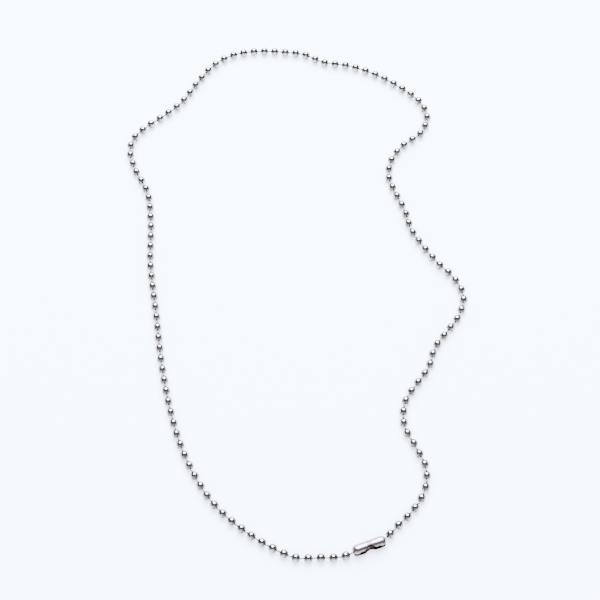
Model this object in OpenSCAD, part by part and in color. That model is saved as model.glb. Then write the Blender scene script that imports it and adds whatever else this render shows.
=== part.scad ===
/* [Chain] */
// Number of balls in the whole loop, the two held by the coupling included
ball_count = 132; // [127:1:134]
// Outer diameter of a hollow ball
ball_d = 2.4; // [2.3:0.05:2.5]
// Thickness of the sheet metal a ball is pressed from
ball_wall = 0.2; // [0.15:0.01:0.2]

/* [Link pins] */
// Diameter of the pin between two balls
pin_d = 0.5; // [0.4:0.02:0.56]
// Free space all round a pin in the hole of a ball
pin_play = 0.18; // [0.16:0.01:0.2]
// How far a pin's round head reaches past the rim of the hole, all round
head_lip = 0.08; // [0.05:0.01:0.09]
// How far the middle of a head stands from the middle of its ball
head_back = 0.15; // [0.1:0.01:0.2]

/* [Coupling] */
// Overall length of the coupling
coupling_len = 10; // [9.4:0.1:10.6]
// Thickness of the coupling's sheet metal
coupling_wall = 0.2; // [0.15:0.01:0.3]
// Free space all round a ball held in the coupling
held_play = 0.15; // [0.14:0.01:0.25]
// Gap between the two lips of the long slot
slot_gap = 1.3; // [1.2:0.05:1.6]
// Length of the long slot
slot_len = 6.6; // [6:0.1:7]
// Diameter of the rolled edge along each lip
lip_d = 0.28; // [0.25:0.01:0.34]
// How far the rolled edges stand in past the sleeve's inner face
lip_inset = 0.04; // [0.02:0.01:0.05]
// Free space all round a ball in the round opening where it goes in
entry_play = 0.32; // [0.31:0.01:0.4]
// How far in front of the coupling's axis the round opening starts
entry_start = 0.4; // [0.35:0.05:0.6]
// Width of the narrow slot that a pin slides along
pin_slot_w = 0.86; // [0.8:0.02:1]
// Diameter of the hole in each end of the coupling
end_hole_d = 2; // [1.9:0.05:2.2]
// Direction of the coupling on the table, in degrees from the X axis
coupling_turn = 20; // [18:0.5:22]
// How far the slot faces up from the table, in degrees
coupling_roll = 18; // [0:1:30]

/* [Hidden] */
$fn = 32;

// Points the loop lies through, clockwise from the coupling
route = [
    [14.5, -81.5],
    [7.5, -82],
    [1.5, -82],
    [-4.5, -79.5],
    [-12.5, -74.5],
    [-20.5, -67.5],
    [-26, -59.5],
    [-30.5, -50],
    [-33.5, -40.5],
    [-36.5, -27],
    [-39, -10],
    [-41.5, 7],
    [-42, 20.5],
    [-43.5, 30.5],
    [-48, 39.5],
    [-49.5, 45.5],
    [-49, 49],
    [-45, 54],
    [-40, 58],
    [-35, 62.5],
    [-29.5, 71],
    [-25.5, 76.5],
    [-20.5, 80.5],
    [-14, 82.5],
    [-3, 82.5],
    [4, 81.5],
    [10, 78.5],
    [16.5, 77.5],
    [26, 74],
    [34.5, 68.5],
    [39.5, 64],
    [42, 58],
    [40, 52],
    [34.5, 47.5],
    [30.5, 42],
    [29.5, 36],
    [31.5, 30],
    [34, 24],
    [35.5, 18],
    [39, 12],
    [43, 6.5],
    [47.5, 1.5],
    [50, -4.5],
    [48.5, -10.5],
    [45, -15.5],
    [41, -21],
    [39, -27],
    [35.5, -32],
    [32, -37.5],
    [31.5, -44.5],
    [34.5, -51],
    [37, -57],
    [36.5, -63],
    [33, -69],
    [28, -74],
    [26.1, -76.1],
];
coupling_mid = [21, -78.9];

// Balls, holes and heads
ball_r = ball_d / 2;
cavity_d = ball_d - 2 * ball_wall;
wall_mid_r = ball_r - ball_wall / 2;
hole_d = pin_d + 2 * pin_play;
head_d = hole_d + 2 * head_lip;

// Coupling
sleeve_in_d = ball_d + 2 * held_play;
sleeve_d = sleeve_in_d + 2 * coupling_wall;
sleeve_straight = coupling_len - sleeve_d;
entry_d = ball_d + 2 * entry_play;
lip_path_r = sleeve_in_d / 2 - lip_inset + lip_d / 2;
slot_taper = (slot_gap - pin_slot_w) / 2;
lip_z = slot_gap / 2 + lip_d / 2;
lip_y = sqrt(lip_path_r * lip_path_r - lip_z * lip_z);

// The two ends of the loop are the balls held in the ends of the coupling
coupling_dir = [cos(coupling_turn), sin(coupling_turn)];
first_held = coupling_mid - coupling_dir * sleeve_straight / 2;
last_held = coupling_mid + coupling_dir * sleeve_straight / 2;
knots = concat([first_held], route, [last_held]);
last_knot = len(knots) - 1;

function span(k) = norm(knots[k + 1] - knots[k]);
function slope(k) = (knots[k + 1] - knots[k]) / span(k);

// Direction of the route at one of its points, from the stretches before and after it
function heading(k) =
    k == 0 ? slope(0)
    : k == last_knot ? slope(last_knot - 1)
    : (slope(k - 1) * span(k) + slope(k) * span(k - 1)) / (span(k - 1) + span(k));

// Smooth curve through the two points of stretch k, at the share t of its length
function curve(k, t) =
    knots[k] * (2 * t * t * t - 3 * t * t + 1)
    + heading(k) * span(k) * (t * t * t - 2 * t * t + t)
    + knots[k + 1] * (3 * t * t - 2 * t * t * t)
    + heading(k + 1) * span(k) * (t * t * t - t * t);

// The route as a line of short pieces, and how far along it each of their ends is
line = concat([for (k = [0 : last_knot - 1], i = [0 : 7]) curve(k, i / 8)], [last_held]);
last_point = len(line) - 1;
so_far = [
    for (i = 0, s = 0; i <= last_point; s = i < last_point ? s + norm(line[i + 1] - line[i]) : s, i = i + 1) s
];
line_x = [for (i = [0 : last_point]) [so_far[i], line[i].x]];
line_y = [for (i = [0 : last_point]) [so_far[i], line[i].y]];

// Middle of each ball, all the same way apart: on the table, or on the coupling's axis if it is held there
last_ball = ball_count - 1;
middle = [
    for (i = [0 : last_ball])
        let (s = i * so_far[last_point] / last_ball)
        [lookup(s, line_x), lookup(s, line_y), i == 0 || i == last_ball ? sleeve_d / 2 : ball_r]
];

// Each ball's own axis, from one of its holes to the other
function unit(v) = v / norm(v);
axis = [
    for (i = [0 : last_ball])
        unit(middle[min(i + 1, last_ball)] - middle[max(i - 1, 0)])
];

// Turns what is drawn along Z to the direction v
module along(v) {
    rotate([0, acos(v.z), atan2(v.y, v.x)])
        children();
}

// A pressed hollow ball with a hole where the pin of the ball before it comes in
module hollow_ball(open_ahead) {
    difference() {
        sphere(d = ball_d);
        sphere(d = cavity_d);
        translate([0, 0, -ball_d])
            cylinder(d = hole_d, h = open_ahead ? 2 * ball_d : ball_d);
    }
}

// A pin that starts in the wall of one ball and ends in a round head inside the next
module link_pin(from, to) {
    reach = norm(to - from) + wall_mid_r - head_back;
    translate(from)
        along(unit(to - from))
        rotate([0, 0, 45]) {
            cylinder(d = pin_d, h = reach);
            translate([0, 0, reach])
                sphere(d = head_d);
        }
}

module ball_chain() {
    color("silver")
        for (i = [0 : last_ball])
            union() {
                translate(middle[i])
                    along(axis[i])
                    hollow_ball(i == last_ball);
                if (i < last_ball)
                    link_pin(middle[i] + axis[i] * wall_mid_r, middle[i + 1] - axis[i + 1] * wall_mid_r);
            }
}

// Half outline of a round-ended tube of radius r, from the rim of one end hole to the other
function tube_side(r) =
    let (rim = acos(end_hole_d / 2 / r))
    [
        for (side = [-1, 1], step = [0 : 6])
            let (a = side * rim * (side > 0 ? step : 6 - step) / 6)
            [r * cos(a), r * sin(a) + side * sleeve_straight / 2]
    ];

// The opening along the sleeve: a wide slot that tapers at both ends to the narrow pin slot
function slot_half() = [
    [coupling_len, pin_slot_w / 2],
    [slot_len / 2, pin_slot_w / 2],
    [slot_len / 2 - slot_taper, slot_gap / 2],
];
function flipped(points, x, y) = [for (p = points) [p.x * x, p.y * y]];
function reversed(points) = [for (i = [len(points) - 1 : -1 : 0]) points[i]];

// Pressed sleeve with a long slot in one side, a round opening where a ball goes in
// and a hole in each end where the pin comes out
module coupling() {
    color("gainsboro")
        translate([coupling_mid.x, coupling_mid.y, sleeve_d / 2])
        rotate([-coupling_roll, 0, coupling_turn])
        difference() {
            union() {
                difference() {
                    rotate([0, 90, 0])
                        rotate_extrude()
                        polygon(concat(tube_side(sleeve_d / 2), reversed(tube_side(sleeve_in_d / 2))));
                    rotate([90, 0, 0])
                        linear_extrude(height = sleeve_d)
                        polygon(concat(
                            slot_half(),
                            reversed(flipped(slot_half(), -1, 1)),
                            flipped(slot_half(), -1, -1),
                            reversed(flipped(slot_half(), 1, -1))
                        ));
                }
                for (side = [-1, 1])
                    translate([-slot_len / 2 + slot_taper, -lip_y, side * lip_z])
                        rotate([0, 90, 0])
                        cylinder(d = lip_d, h = slot_len - 2 * slot_taper);
            }
            translate([0, -entry_start, 0])
                rotate([90, 0, 0])
                cylinder(d = entry_d, h = sleeve_d);
        }
}

ball_chain();
coupling();
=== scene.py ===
import bpy, bmesh
from math import acos, asin, cos, pi, radians, sin, sqrt
from mathutils import Matrix, Vector


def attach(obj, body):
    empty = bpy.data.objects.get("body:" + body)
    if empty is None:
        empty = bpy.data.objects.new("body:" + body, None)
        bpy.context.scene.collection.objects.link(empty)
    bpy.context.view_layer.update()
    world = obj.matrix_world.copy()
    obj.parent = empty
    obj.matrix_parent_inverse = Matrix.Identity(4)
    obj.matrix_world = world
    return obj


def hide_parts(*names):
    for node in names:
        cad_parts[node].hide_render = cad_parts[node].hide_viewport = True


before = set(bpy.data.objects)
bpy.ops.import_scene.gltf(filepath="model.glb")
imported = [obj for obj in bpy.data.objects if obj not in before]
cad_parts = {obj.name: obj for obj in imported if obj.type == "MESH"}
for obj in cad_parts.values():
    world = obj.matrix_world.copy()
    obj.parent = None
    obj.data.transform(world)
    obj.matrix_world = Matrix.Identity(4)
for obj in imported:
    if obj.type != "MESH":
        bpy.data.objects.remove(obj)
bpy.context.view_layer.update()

MM = 0.001

# Camera: the photograph looks down on the table from a steep angle, with the loop's far end away from it
look_at = Vector((2.55, -5.67, 1.2)) * MM
camera_height = radians(63.6)
camera_far = 396.4 * MM
photo_camera = bpy.data.objects.new("photo_camera", bpy.data.cameras.new("photo_camera"))
bpy.context.scene.collection.objects.link(photo_camera)
photo_camera.location = look_at + camera_far * Vector((0, -cos(camera_height), sin(camera_height)))
photo_camera.rotation_euler = (pi / 2 - camera_height, 0, 0)
photo_camera.data.sensor_width = 36
photo_camera.data.lens = 82
photo_camera.data.clip_start = 0.01
photo_camera.data.clip_end = 20
bpy.context.scene.camera = photo_camera

# The chain's own sizes, in millimetres
BALL_COUNT = 132
LAST_BALL = BALL_COUNT - 1
BALL_D = 2.4
BALL_WALL = 0.2
PIN_D = 0.5
PIN_PLAY = 0.18
HEAD_LIP = 0.08
HEAD_BACK = 0.15
HOLE_D = PIN_D + 2 * PIN_PLAY
HEAD_D = HOLE_D + 2 * HEAD_LIP

# The rim of a ball's hole, which turns inwards: its width, and how deep its outer and inner edges lie
RIM_WIDTH = 0.05
RIM_START = 0.02
RIM_END = 0.07

# The coupling's own sizes, in millimetres
COUPLING_LEN = 10
COUPLING_WALL = 0.2
EDGE_ROUND = 0.06
HELD_PLAY = 0.15
ENTRY_PLAY = 0.32
ENTRY_START = 0.4
END_HOLE_D = 2
SLOT_GAP = 1.3
SLOT_LEN = 6.6
SLOT_TAPER = 0.5
PIN_SLOT_W = 0.86
SLEEVE_D = BALL_D + 2 * HELD_PLAY + 2 * COUPLING_WALL
SLEEVE_MID_R = SLEEVE_D / 2 - COUPLING_WALL / 2
SLEEVE_STRAIGHT = COUPLING_LEN - SLEEVE_D
ENTRY_D = BALL_D + 2 * ENTRY_PLAY
COUPLING_MID = Vector((21, -78.9))
COUPLING_TURN = radians(20)
COUPLING_ROLL = radians(18)

# The coupling's waist: where it is full and where it ends, and how deep it is all round and more at the lips
WAIST_FULL = 0.1
WAIST_REACH = 1.8
WAIST_DEPTH = 0.05
LIP_DEPTH = 0.07
LIP_START = 0.3

# Rounding, in radians, of the corner between slot and round opening: how much, and where it starts
CORNER_ROUND = 0.12
CORNER_SPREAD = 0.4

# Points the loop lies through, clockwise from the coupling
ROUTE = [
    (14.5, -81.5), (7.5, -82), (1.5, -82), (-4.5, -79.5), (-12.5, -74.5), (-20.5, -67.5), (-26, -59.5),
    (-30.5, -50), (-33.5, -40.5), (-36.5, -27), (-39, -10), (-41.5, 7), (-42, 20.5), (-43.5, 30.5),
    (-48, 39.5), (-49.5, 45.5), (-49, 49), (-45, 54), (-40, 58), (-35, 62.5), (-29.5, 71),
    (-25.5, 76.5), (-20.5, 80.5), (-14, 82.5), (-3, 82.5), (4, 81.5), (10, 78.5), (16.5, 77.5),
    (26, 74), (34.5, 68.5), (39.5, 64), (42, 58), (40, 52), (34.5, 47.5), (30.5, 42),
    (29.5, 36), (31.5, 30), (34, 24), (35.5, 18), (39, 12), (43, 6.5), (47.5, 1.5),
    (50, -4.5), (48.5, -10.5), (45, -15.5), (41, -21), (39, -27), (35.5, -32), (32, -37.5),
    (31.5, -44.5), (34.5, -51), (37, -57), (36.5, -63), (33, -69), (28, -74), (26.1, -76.1),
]
CURVE_STEPS = 8


def route_line():
    """The smooth curve through the route, from one held ball to the other, as a line of short pieces."""
    half = Vector((cos(COUPLING_TURN), sin(COUPLING_TURN))) * SLEEVE_STRAIGHT / 2
    spot = [COUPLING_MID - half, *[Vector(p) for p in ROUTE], COUPLING_MID + half]
    span = [(b - a).length for a, b in zip(spot, spot[1:])]
    slope = [(b - a) / s for a, b, s in zip(spot, spot[1:], span)]
    heading = [slope[0]]
    for k in range(1, len(spot) - 1):
        heading.append((slope[k - 1] * span[k] + slope[k] * span[k - 1]) / (span[k - 1] + span[k]))
    heading.append(slope[-1])
    line = []
    for k in range(len(span)):
        for t in [step / CURVE_STEPS for step in range(CURVE_STEPS)]:
            line.append(spot[k] * (2 * t**3 - 3 * t**2 + 1) + heading[k] * span[k] * (t**3 - 2 * t**2 + t)
                        + spot[k + 1] * (3 * t**2 - 2 * t**3) + heading[k + 1] * span[k] * (t**3 - t**2))
    line.append(spot[-1])
    return line


def ball_middles():
    """The middle of each ball, in millimetres, all the same way apart along the route."""
    line = route_line()
    so_far = [0]
    for a, b in zip(line, line[1:]):
        so_far.append(so_far[-1] + (b - a).length)
    found = []
    k = 0
    for i in range(BALL_COUNT):
        way = so_far[-1] * i / LAST_BALL
        while k < len(line) - 2 and way > so_far[k + 1]:
            k += 1
        p = line[k].lerp(line[k + 1], (way - so_far[k]) / (so_far[k + 1] - so_far[k]))
        held = i in (0, LAST_BALL)
        found.append(Vector((p.x, p.y, SLEEVE_D / 2 if held else BALL_D / 2)))
    return found


middles = ball_middles()
axes = [(middles[min(i + 1, LAST_BALL)] - middles[max(i - 1, 0)]).normalized() for i in range(BALL_COUNT)]


def turned_to(way):
    """Turns what is made along Z to the direction way."""
    return Vector((0, 0, 1)).rotation_difference(way).to_matrix().to_4x4()


def finished(name, bm, material, slot, *nodes):
    """Makes the bmesh, in millimetres, a smooth piece of the object in metres."""
    bmesh.ops.scale(bm, vec=(MM, MM, MM), verts=bm.verts)
    mesh = bpy.data.meshes.new(name)
    bm.to_mesh(mesh)
    bm.free()
    mesh.shade_smooth()
    piece = bpy.data.objects.new(name, mesh)
    bpy.context.scene.collection.objects.link(piece)
    mesh.materials.append(material)
    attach(piece, "root")
    if nodes:
        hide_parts(*nodes)
    return piece


def add_copy(target, shape, matrix):
    """Adds a copy of the mesh shape to the bmesh target, placed by matrix."""
    known = len(target.verts)
    target.from_mesh(shape)
    target.verts.ensure_lookup_table()
    bmesh.ops.transform(target, matrix=matrix, verts=target.verts[known:])


def pressed_ball():
    """One ball along Z: a pressed shell with a hole at each end whose rim turns inwards."""
    bm = bmesh.new()
    bmesh.ops.create_uvsphere(bm, u_segments=14, v_segments=10, radius=BALL_D / 2)
    poles = [v for v in bm.verts if abs(v.co.z) > BALL_D / 2 - 1e-4]
    bmesh.ops.delete(bm, geom=poles, context="VERTS")
    hole_z = sqrt((BALL_D / 2) ** 2 - (HOLE_D / 2) ** 2)
    for side in (-1, 1):
        rim = [v for v in bm.verts if v.is_boundary and v.co.z * side > 0]
        ring = [e for e in bm.edges if e.is_boundary and e.verts[0].co.z * side > 0]
        for v in rim:
            out = Vector((v.co.x, v.co.y, 0)).normalized() * (HOLE_D / 2 + RIM_WIDTH)
            v.co = Vector((out.x, out.y, side * (hole_z - RIM_START)))
        grown = bmesh.ops.extrude_edge_only(bm, edges=ring)["geom"]
        ring = [e for e in grown if isinstance(e, bmesh.types.BMEdge)]
        for v in {v for e in ring for v in e.verts}:
            out = Vector((v.co.x, v.co.y, 0)).normalized() * (HOLE_D / 2)
            v.co = Vector((out.x, out.y, side * (hole_z - RIM_END)))
        bmesh.ops.contextual_create(bm, geom=ring)
    bmesh.ops.recalc_face_normals(bm, faces=bm.faces)
    shape = bpy.data.meshes.new("pressed_ball")
    bm.to_mesh(shape)
    bm.free()
    return shape


def headed_pin(length):
    """One pin along Z from 0 to length, with a round head at each end."""
    bm = bmesh.new()
    bmesh.ops.create_cone(bm, cap_ends=True, segments=8, radius1=PIN_D / 2, radius2=PIN_D / 2, depth=length)
    bmesh.ops.translate(bm, verts=bm.verts, vec=(0, 0, length / 2))
    for z in (0, length):
        bmesh.ops.create_uvsphere(
            bm, u_segments=8, v_segments=5, radius=HEAD_D / 2, matrix=Matrix.Translation((0, 0, z)))
    shape = bpy.data.meshes.new("headed_pin")
    bm.to_mesh(shape)
    bm.free()
    return shape


def noise(mat, scale, detail):
    """A cloudy pattern that lies still on the object; the larger its scale, the finer it is."""
    place = mat.node_tree.nodes.new("ShaderNodeTexCoord")
    pattern = mat.node_tree.nodes.new("ShaderNodeTexNoise")
    pattern.inputs["Scale"].default_value = scale
    pattern.inputs["Detail"].default_value = detail
    mat.node_tree.links.new(place.outputs["Object"], pattern.inputs["Vector"])
    return pattern.outputs["Fac"]


def soft_start(mat, value, start, full):
    """Goes smoothly from 0 to 1 while value goes from start to full."""
    ramp = mat.node_tree.nodes.new("ShaderNodeMapRange")
    ramp.interpolation_type = "SMOOTHSTEP"
    ramp.inputs["From Min"].default_value = start
    ramp.inputs["From Max"].default_value = full
    mat.node_tree.links.new(value, ramp.inputs["Value"])
    return ramp.outputs["Result"]


def calculated(mat, operation, a, b, between=None):
    """A Math node on a and b, with the number between as its middle value where it has three."""
    result = mat.node_tree.nodes.new("ShaderNodeMath")
    result.operation = operation
    mat.node_tree.links.new(a, result.inputs[0])
    if between is None:
        mat.node_tree.links.new(b, result.inputs[1])
    else:
        result.inputs[1].default_value = between
        mat.node_tree.links.new(b, result.inputs[2])
    return result


def shaded_over(mat, cloud, clean_color, clean_roughness, color, roughness, start, full, shade_stop):
    """Painted shade over the clean metal, by the piece's own value that grows where the shade should go.

    It sets in unevenly where that value is start, is whole where it is full, and stops again past the stop
    value.
    """
    uneven = 0.3
    shade_stop_width = 0.1
    links = mat.node_tree.links
    shade_map = mat.node_tree.nodes.new("ShaderNodeAttribute")
    shade_map.attribute_name = "shade_map"
    cloudy = calculated(mat, "MULTIPLY_ADD", cloud, shade_map.outputs["Fac"], between=uneven)
    set_in = soft_start(mat, cloudy.outputs["Value"], start, full)
    shade_stopping = soft_start(mat, shade_map.outputs["Fac"], shade_stop, shade_stop + shade_stop_width)
    amount = calculated(mat, "SUBTRACT", set_in, shade_stopping)
    amount.use_clamp = True
    # Painted shade: the colour turns towards the dark colour, and the roughness changes with it
    shade = mat.node_tree.nodes.new("ShaderNodeMix")
    shade.data_type = "RGBA"
    shade.inputs["B"].default_value = (*color, 1)
    links.new(amount.outputs["Value"], shade.inputs["Factor"])
    links.new(clean_color, shade.inputs["A"])
    rough = mat.node_tree.nodes.new("ShaderNodeMix")
    rough.inputs["B"].default_value = roughness
    links.new(amount.outputs["Value"], rough.inputs["Factor"])
    links.new(clean_roughness, rough.inputs["A"])
    return shade.outputs["Result"], rough.outputs["Result"]


def scratched(mat):
    """Fine scratches as a slight bump."""
    depth = 0.004 * MM
    bump = mat.node_tree.nodes.new("ShaderNodeBump")
    bump.inputs["Strength"].default_value = 0.25
    bump.inputs["Distance"].default_value = depth
    mat.node_tree.links.new(noise(mat, scale=5200, detail=2), bump.inputs["Height"])
    return bump.outputs["Normal"]


def polished_metal(name, color, roughness, painted_shade=None):
    """Plated metal with fine scratches, slightly cloudy, and with painted shade where the piece's own value
    calls for it.
    """
    darker = 0.88
    cloud_start, cloud_full = 0.35, 0.6
    smoothest, roughest = 0.75, 1.25
    glancing_tint = (0.22, 0.205, 0.195, 1)
    mat = bpy.data.materials.new(name)
    mat.use_nodes = True
    links = mat.node_tree.links
    shader = mat.node_tree.nodes["Principled BSDF"]
    shader.inputs["Metallic"].default_value = 1
    shader.inputs["Specular Tint"].default_value = glancing_tint
    cloud = noise(mat, scale=900, detail=3)
    tint = mat.node_tree.nodes.new("ShaderNodeValToRGB")
    tint.color_ramp.elements[0].position = cloud_start
    tint.color_ramp.elements[0].color = (*[c * darker for c in color], 1)
    tint.color_ramp.elements[1].position = cloud_full
    tint.color_ramp.elements[1].color = (*color, 1)
    links.new(cloud, tint.inputs["Fac"])
    rough = mat.node_tree.nodes.new("ShaderNodeMapRange")
    rough.inputs["To Min"].default_value = roughness * smoothest
    rough.inputs["To Max"].default_value = roughness * roughest
    links.new(cloud, rough.inputs["Value"])
    shown_color, shown_roughness = tint.outputs["Color"], rough.outputs["Result"]
    if painted_shade:
        shown_color, shown_roughness = shaded_over(mat, cloud, shown_color, shown_roughness, **painted_shade)
    links.new(shown_color, shader.inputs["Base Color"])
    links.new(shown_roughness, shader.inputs["Roughness"])
    links.new(scratched(mat), shader.inputs["Normal"])
    return mat


# The balls get painted shade towards both ends, standing in for the shade and the dark mirrored neighbours
# between balls; it stops again close round each hole
ball_metal = polished_metal(
    "ball_nickel", (0.36, 0.316, 0.276), 0.1,
    painted_shade=dict(color=(0.1, 0.085, 0.077), roughness=0.3, start=0.46, full=0.72, shade_stop=0.76))
pin_metal = polished_metal("pin_nickel", (0.22, 0.193, 0.17), 0.27)

# The coupling gets painted shade at its waist, a darker colour and more roughness; it never stops, because
# the value is never over 1 there
coupling_metal = polished_metal(
    "coupling_nickel", (0.35, 0.306, 0.27), 0.22,
    painted_shade=dict(color=(0.2, 0.18, 0.167), roughness=0.42, start=0.5, full=1.0, shade_stop=2))
# The inside of the sheet and its cut edges get a darker, browner copy of the coupling metal: painted shade
# inside the coupling
shaded_inner_metal = polished_metal("coupling_inside_shaded", (0.25, 0.2, 0.175), 0.24)


def chain_balls():
    """All the balls as one piece, with painted shade towards both ends of each ball."""
    ball_shape = pressed_ball()
    bm = bmesh.new()
    for middle, way in zip(middles, axes):
        add_copy(bm, ball_shape, Matrix.Translation(middle) @ turned_to(way))
    shade_map = bm.verts.layers.float.new("shade_map")
    for v in bm.verts:
        ball = v.index // len(ball_shape.vertices)
        # How far along its axis each point lies, from the ball's middle to its end, which sets the painted
        # shade
        v[shade_map] = abs((v.co - middles[ball]).dot(axes[ball])) / (BALL_D / 2)
    finished("balls", bm, ball_metal, "chain_metal", "ball_chain")


def chain_pins():
    """A pin from each ball to the next, with its heads inside them, all as one piece."""
    bm = bmesh.new()
    wall_mid_r = BALL_D / 2 - BALL_WALL / 2
    back = wall_mid_r - HEAD_BACK
    for a, b, way_a, way_b in zip(middles, middles[1:], axes, axes[1:]):
        start = a + way_a * wall_mid_r
        end = b - way_b * wall_mid_r
        way = (end - start).normalized()
        pin = headed_pin((end - start).length + 2 * back)
        add_copy(bm, pin, Matrix.Translation(start - way * back) @ turned_to(way))
    finished("link_pins", bm, pin_metal, "chain_metal", "ball_chain")


chain_balls()
chain_pins()


def smooth_step(a, b, x):
    """0 where x is up to a, 1 from b on, and smooth between them."""
    t = min(max((x - a) / (b - a), 0), 1)
    return t * t * (3 - 2 * t)


def edge_angle(x, r):
    """Angle from the middle of the opening to its edge, at x along the sleeve and r from its axis."""
    x = abs(x)
    narrow = PIN_SLOT_W / 2
    wide = narrow + (SLOT_GAP / 2 - narrow) * (1 - smooth_step(SLOT_LEN / 2 - SLOT_TAPER, SLOT_LEN / 2, x))
    slot = asin(min(wide / r, 1))
    entry = acos(ENTRY_START / r) * sqrt(max(1 - (x / (ENTRY_D / 2)) ** 2, 0))
    return max(slot, entry) + CORNER_ROUND * max(1 - abs(slot - entry) / CORNER_SPREAD, 0) ** 2


def rolled_sleeve():
    """The sleeve: a flat blank, cut along its edges, rolled round X with its opening towards -Y."""
    bm = bmesh.new()
    bmesh.ops.create_grid(bm, x_segments=96, y_segments=28, size=1)
    shade_map = bm.verts.layers.float.new("shade_map")
    end_r = END_HOLE_D / 2
    half_straight = SLEEVE_STRAIGHT / 2
    half_blank = SLEEVE_MID_R * acos(end_r / SLEEVE_MID_R) + half_straight
    for v in bm.verts:
        along, around = v.co.x, v.co.y
        reach = abs(along) * half_blank
        if reach <= half_straight:
            x, r = reach, SLEEVE_MID_R
        else:
            bend = (reach - half_straight) / SLEEVE_MID_R
            x, r = half_straight + SLEEVE_MID_R * sin(bend), SLEEVE_MID_R * cos(bend)
        x = x if along > 0 else -x
        waist = 1 - smooth_step(WAIST_FULL, WAIST_REACH, reach)
        r -= (WAIST_DEPTH + LIP_DEPTH * smooth_step(LIP_START, 1, abs(around))) * waist
        # The waist's value sets the painted shade there: a darker colour, and more roughness
        v[shade_map] = waist
        turn = (pi - edge_angle(x, r)) * around
        v.co = Vector((x, r * cos(turn), -r * sin(turn)))
    return bm


def fastened_coupling():
    """The coupling where it lies, with the thickness and the rounded edges of its sheet metal."""
    bm = rolled_sleeve()
    place = (Matrix.Translation((COUPLING_MID.x, COUPLING_MID.y, SLEEVE_D / 2))
             @ Matrix.Rotation(COUPLING_TURN, 4, "Z") @ Matrix.Rotation(-COUPLING_ROLL, 4, "X"))
    bmesh.ops.transform(bm, matrix=place, verts=bm.verts)
    coupling = finished("coupling_sleeve", bm, coupling_metal, "coupling_metal", "coupling")
    coupling.data.materials.append(shaded_inner_metal)
    wall = coupling.modifiers.new("sheet_thickness", "SOLIDIFY")
    wall.thickness = COUPLING_WALL * MM
    wall.offset = 0
    # The inner side and the cut edges take the second material, with its painted shade
    wall.material_offset = 1
    wall.material_offset_rim = 1
    soft = coupling.modifiers.new("rounded_edges", "BEVEL")
    soft.width = EDGE_ROUND * MM
    soft.segments = 3
    soft.limit_method = "ANGLE"


fastened_coupling()

# Floor and light
table_color = (0.79, 0.885, 0.97)


def white_table():
    """A plain table top with its edges far away."""
    half_width = 6
    bm = bmesh.new()
    bmesh.ops.create_grid(bm, x_segments=1, y_segments=1, size=half_width)
    mesh = bpy.data.meshes.new("table_top")
    bm.to_mesh(mesh)
    bm.free()
    table_top = bpy.data.objects.new("table_top", mesh)
    bpy.context.scene.collection.objects.link(table_top)
    paper = bpy.data.materials.new("white_table")
    paper.use_nodes = True
    paper.node_tree.nodes["Principled BSDF"].inputs["Base Color"].default_value = (*table_color, 1)
    paper.node_tree.nodes["Principled BSDF"].inputs["Roughness"].default_value = 0.6
    mesh.materials.append(paper)


def soft_light(name, shape, place, size, power, color):
    """A flat area light at place, in metres, that faces the middle of the table."""
    data = bpy.data.lights.new(name, "AREA")
    data.shape = shape
    data.size, data.size_y = size
    data.energy = power
    data.color = color
    lamp = bpy.data.objects.new(name, data)
    lamp.location = place
    lamp.rotation_euler = Vector(place).to_track_quat("Z", "Y").to_euler()
    bpy.context.scene.collection.objects.link(lamp)


def glow(world, color, strength):
    """Even light of one colour from all round."""
    background = world.node_tree.nodes.new("ShaderNodeBackground")
    background.inputs["Color"].default_value = (*color, 1)
    background.inputs["Strength"].default_value = strength
    return background.outputs["Background"]


def chosen(world, test, usual, instead):
    """The usual light, with another instead for the rays that pass the test."""
    pick = world.node_tree.nodes.new("ShaderNodeMixShader")
    world.node_tree.links.new(test, pick.inputs["Fac"])
    world.node_tree.links.new(usual, pick.inputs[1])
    world.node_tree.links.new(instead, pick.inputs[2])
    return pick.outputs["Shader"]


def studio():
    """A dark room for the metal to mirror, a soft fill for the table, and a backdrop as pale as the table."""
    fill_color = (1.0, 0.98, 1.04)
    fill_strength = 5.6
    world = bpy.data.worlds.new("studio")
    bpy.context.scene.world = world
    world.use_nodes = True
    ray = world.node_tree.nodes.new("ShaderNodeLightPath").outputs
    room = world.node_tree.nodes["Background"]
    room.inputs["Color"].default_value = (0.352, 0.32, 0.304, 1)
    fill = glow(world, color=fill_color, strength=fill_strength)
    backdrop = glow(world, color=[f * t for f, t in zip(fill_color, table_color)], strength=fill_strength)
    lit = chosen(world, ray["Is Diffuse Ray"], room.outputs["Background"], fill)
    seen = chosen(world, ray["Is Camera Ray"], lit, backdrop)
    world.node_tree.links.new(seen, world.node_tree.nodes["World Output"].inputs["Surface"])


white_table()
soft_light(
    "overhead_softbox", "ELLIPSE",
    place=(0, 0.78, 0.9), size=(1.2, 1.2), power=138, color=(0.77, 0.955, 1.42))
soft_light(
    "front_card", "RECTANGLE",
    place=(0, -1.0, 0.42), size=(1.6, 0.86), power=13, color=(0.9, 0.97, 1.12))
studio()
